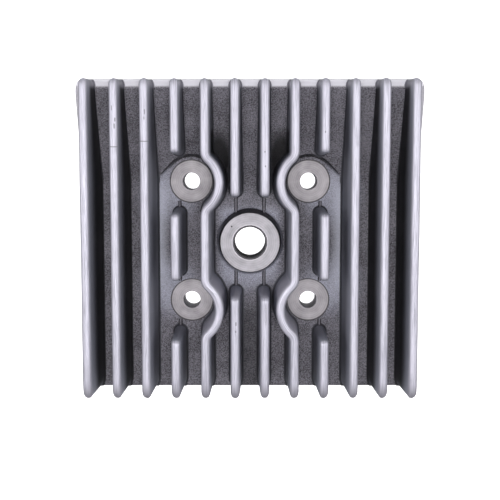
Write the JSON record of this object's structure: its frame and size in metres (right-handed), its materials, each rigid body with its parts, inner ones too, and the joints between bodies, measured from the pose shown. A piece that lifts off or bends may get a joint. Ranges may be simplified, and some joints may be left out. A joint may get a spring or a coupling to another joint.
{
  "type": "cylinder head",
  "caption": "Air-cooled two-stroke cylinder head: finned light-alloy casting with stud holes at the corners of a rectangle and a central threaded plug hole.",
  "frame": {"origin": "on the cylinder axis, in the plane of the gasket face", "axes": "+Z away from the cylinder, towards the fin tips; the fins run along Y and the floor between them rises towards +Y; X runs across the fins"},
  "size_m": [0.1376, 0.126, 0.0425],
  "materials": {
    "cast_alloy": "bare die-cast floor and flanks, polished fin tips, machined seats",
    "insert_steel": "machined thread"
  },
  "bodies": {
    "root": {"head_casting": "cast_alloy", "plug_thread_insert": "insert_steel"}
  },
  "joints": []
}
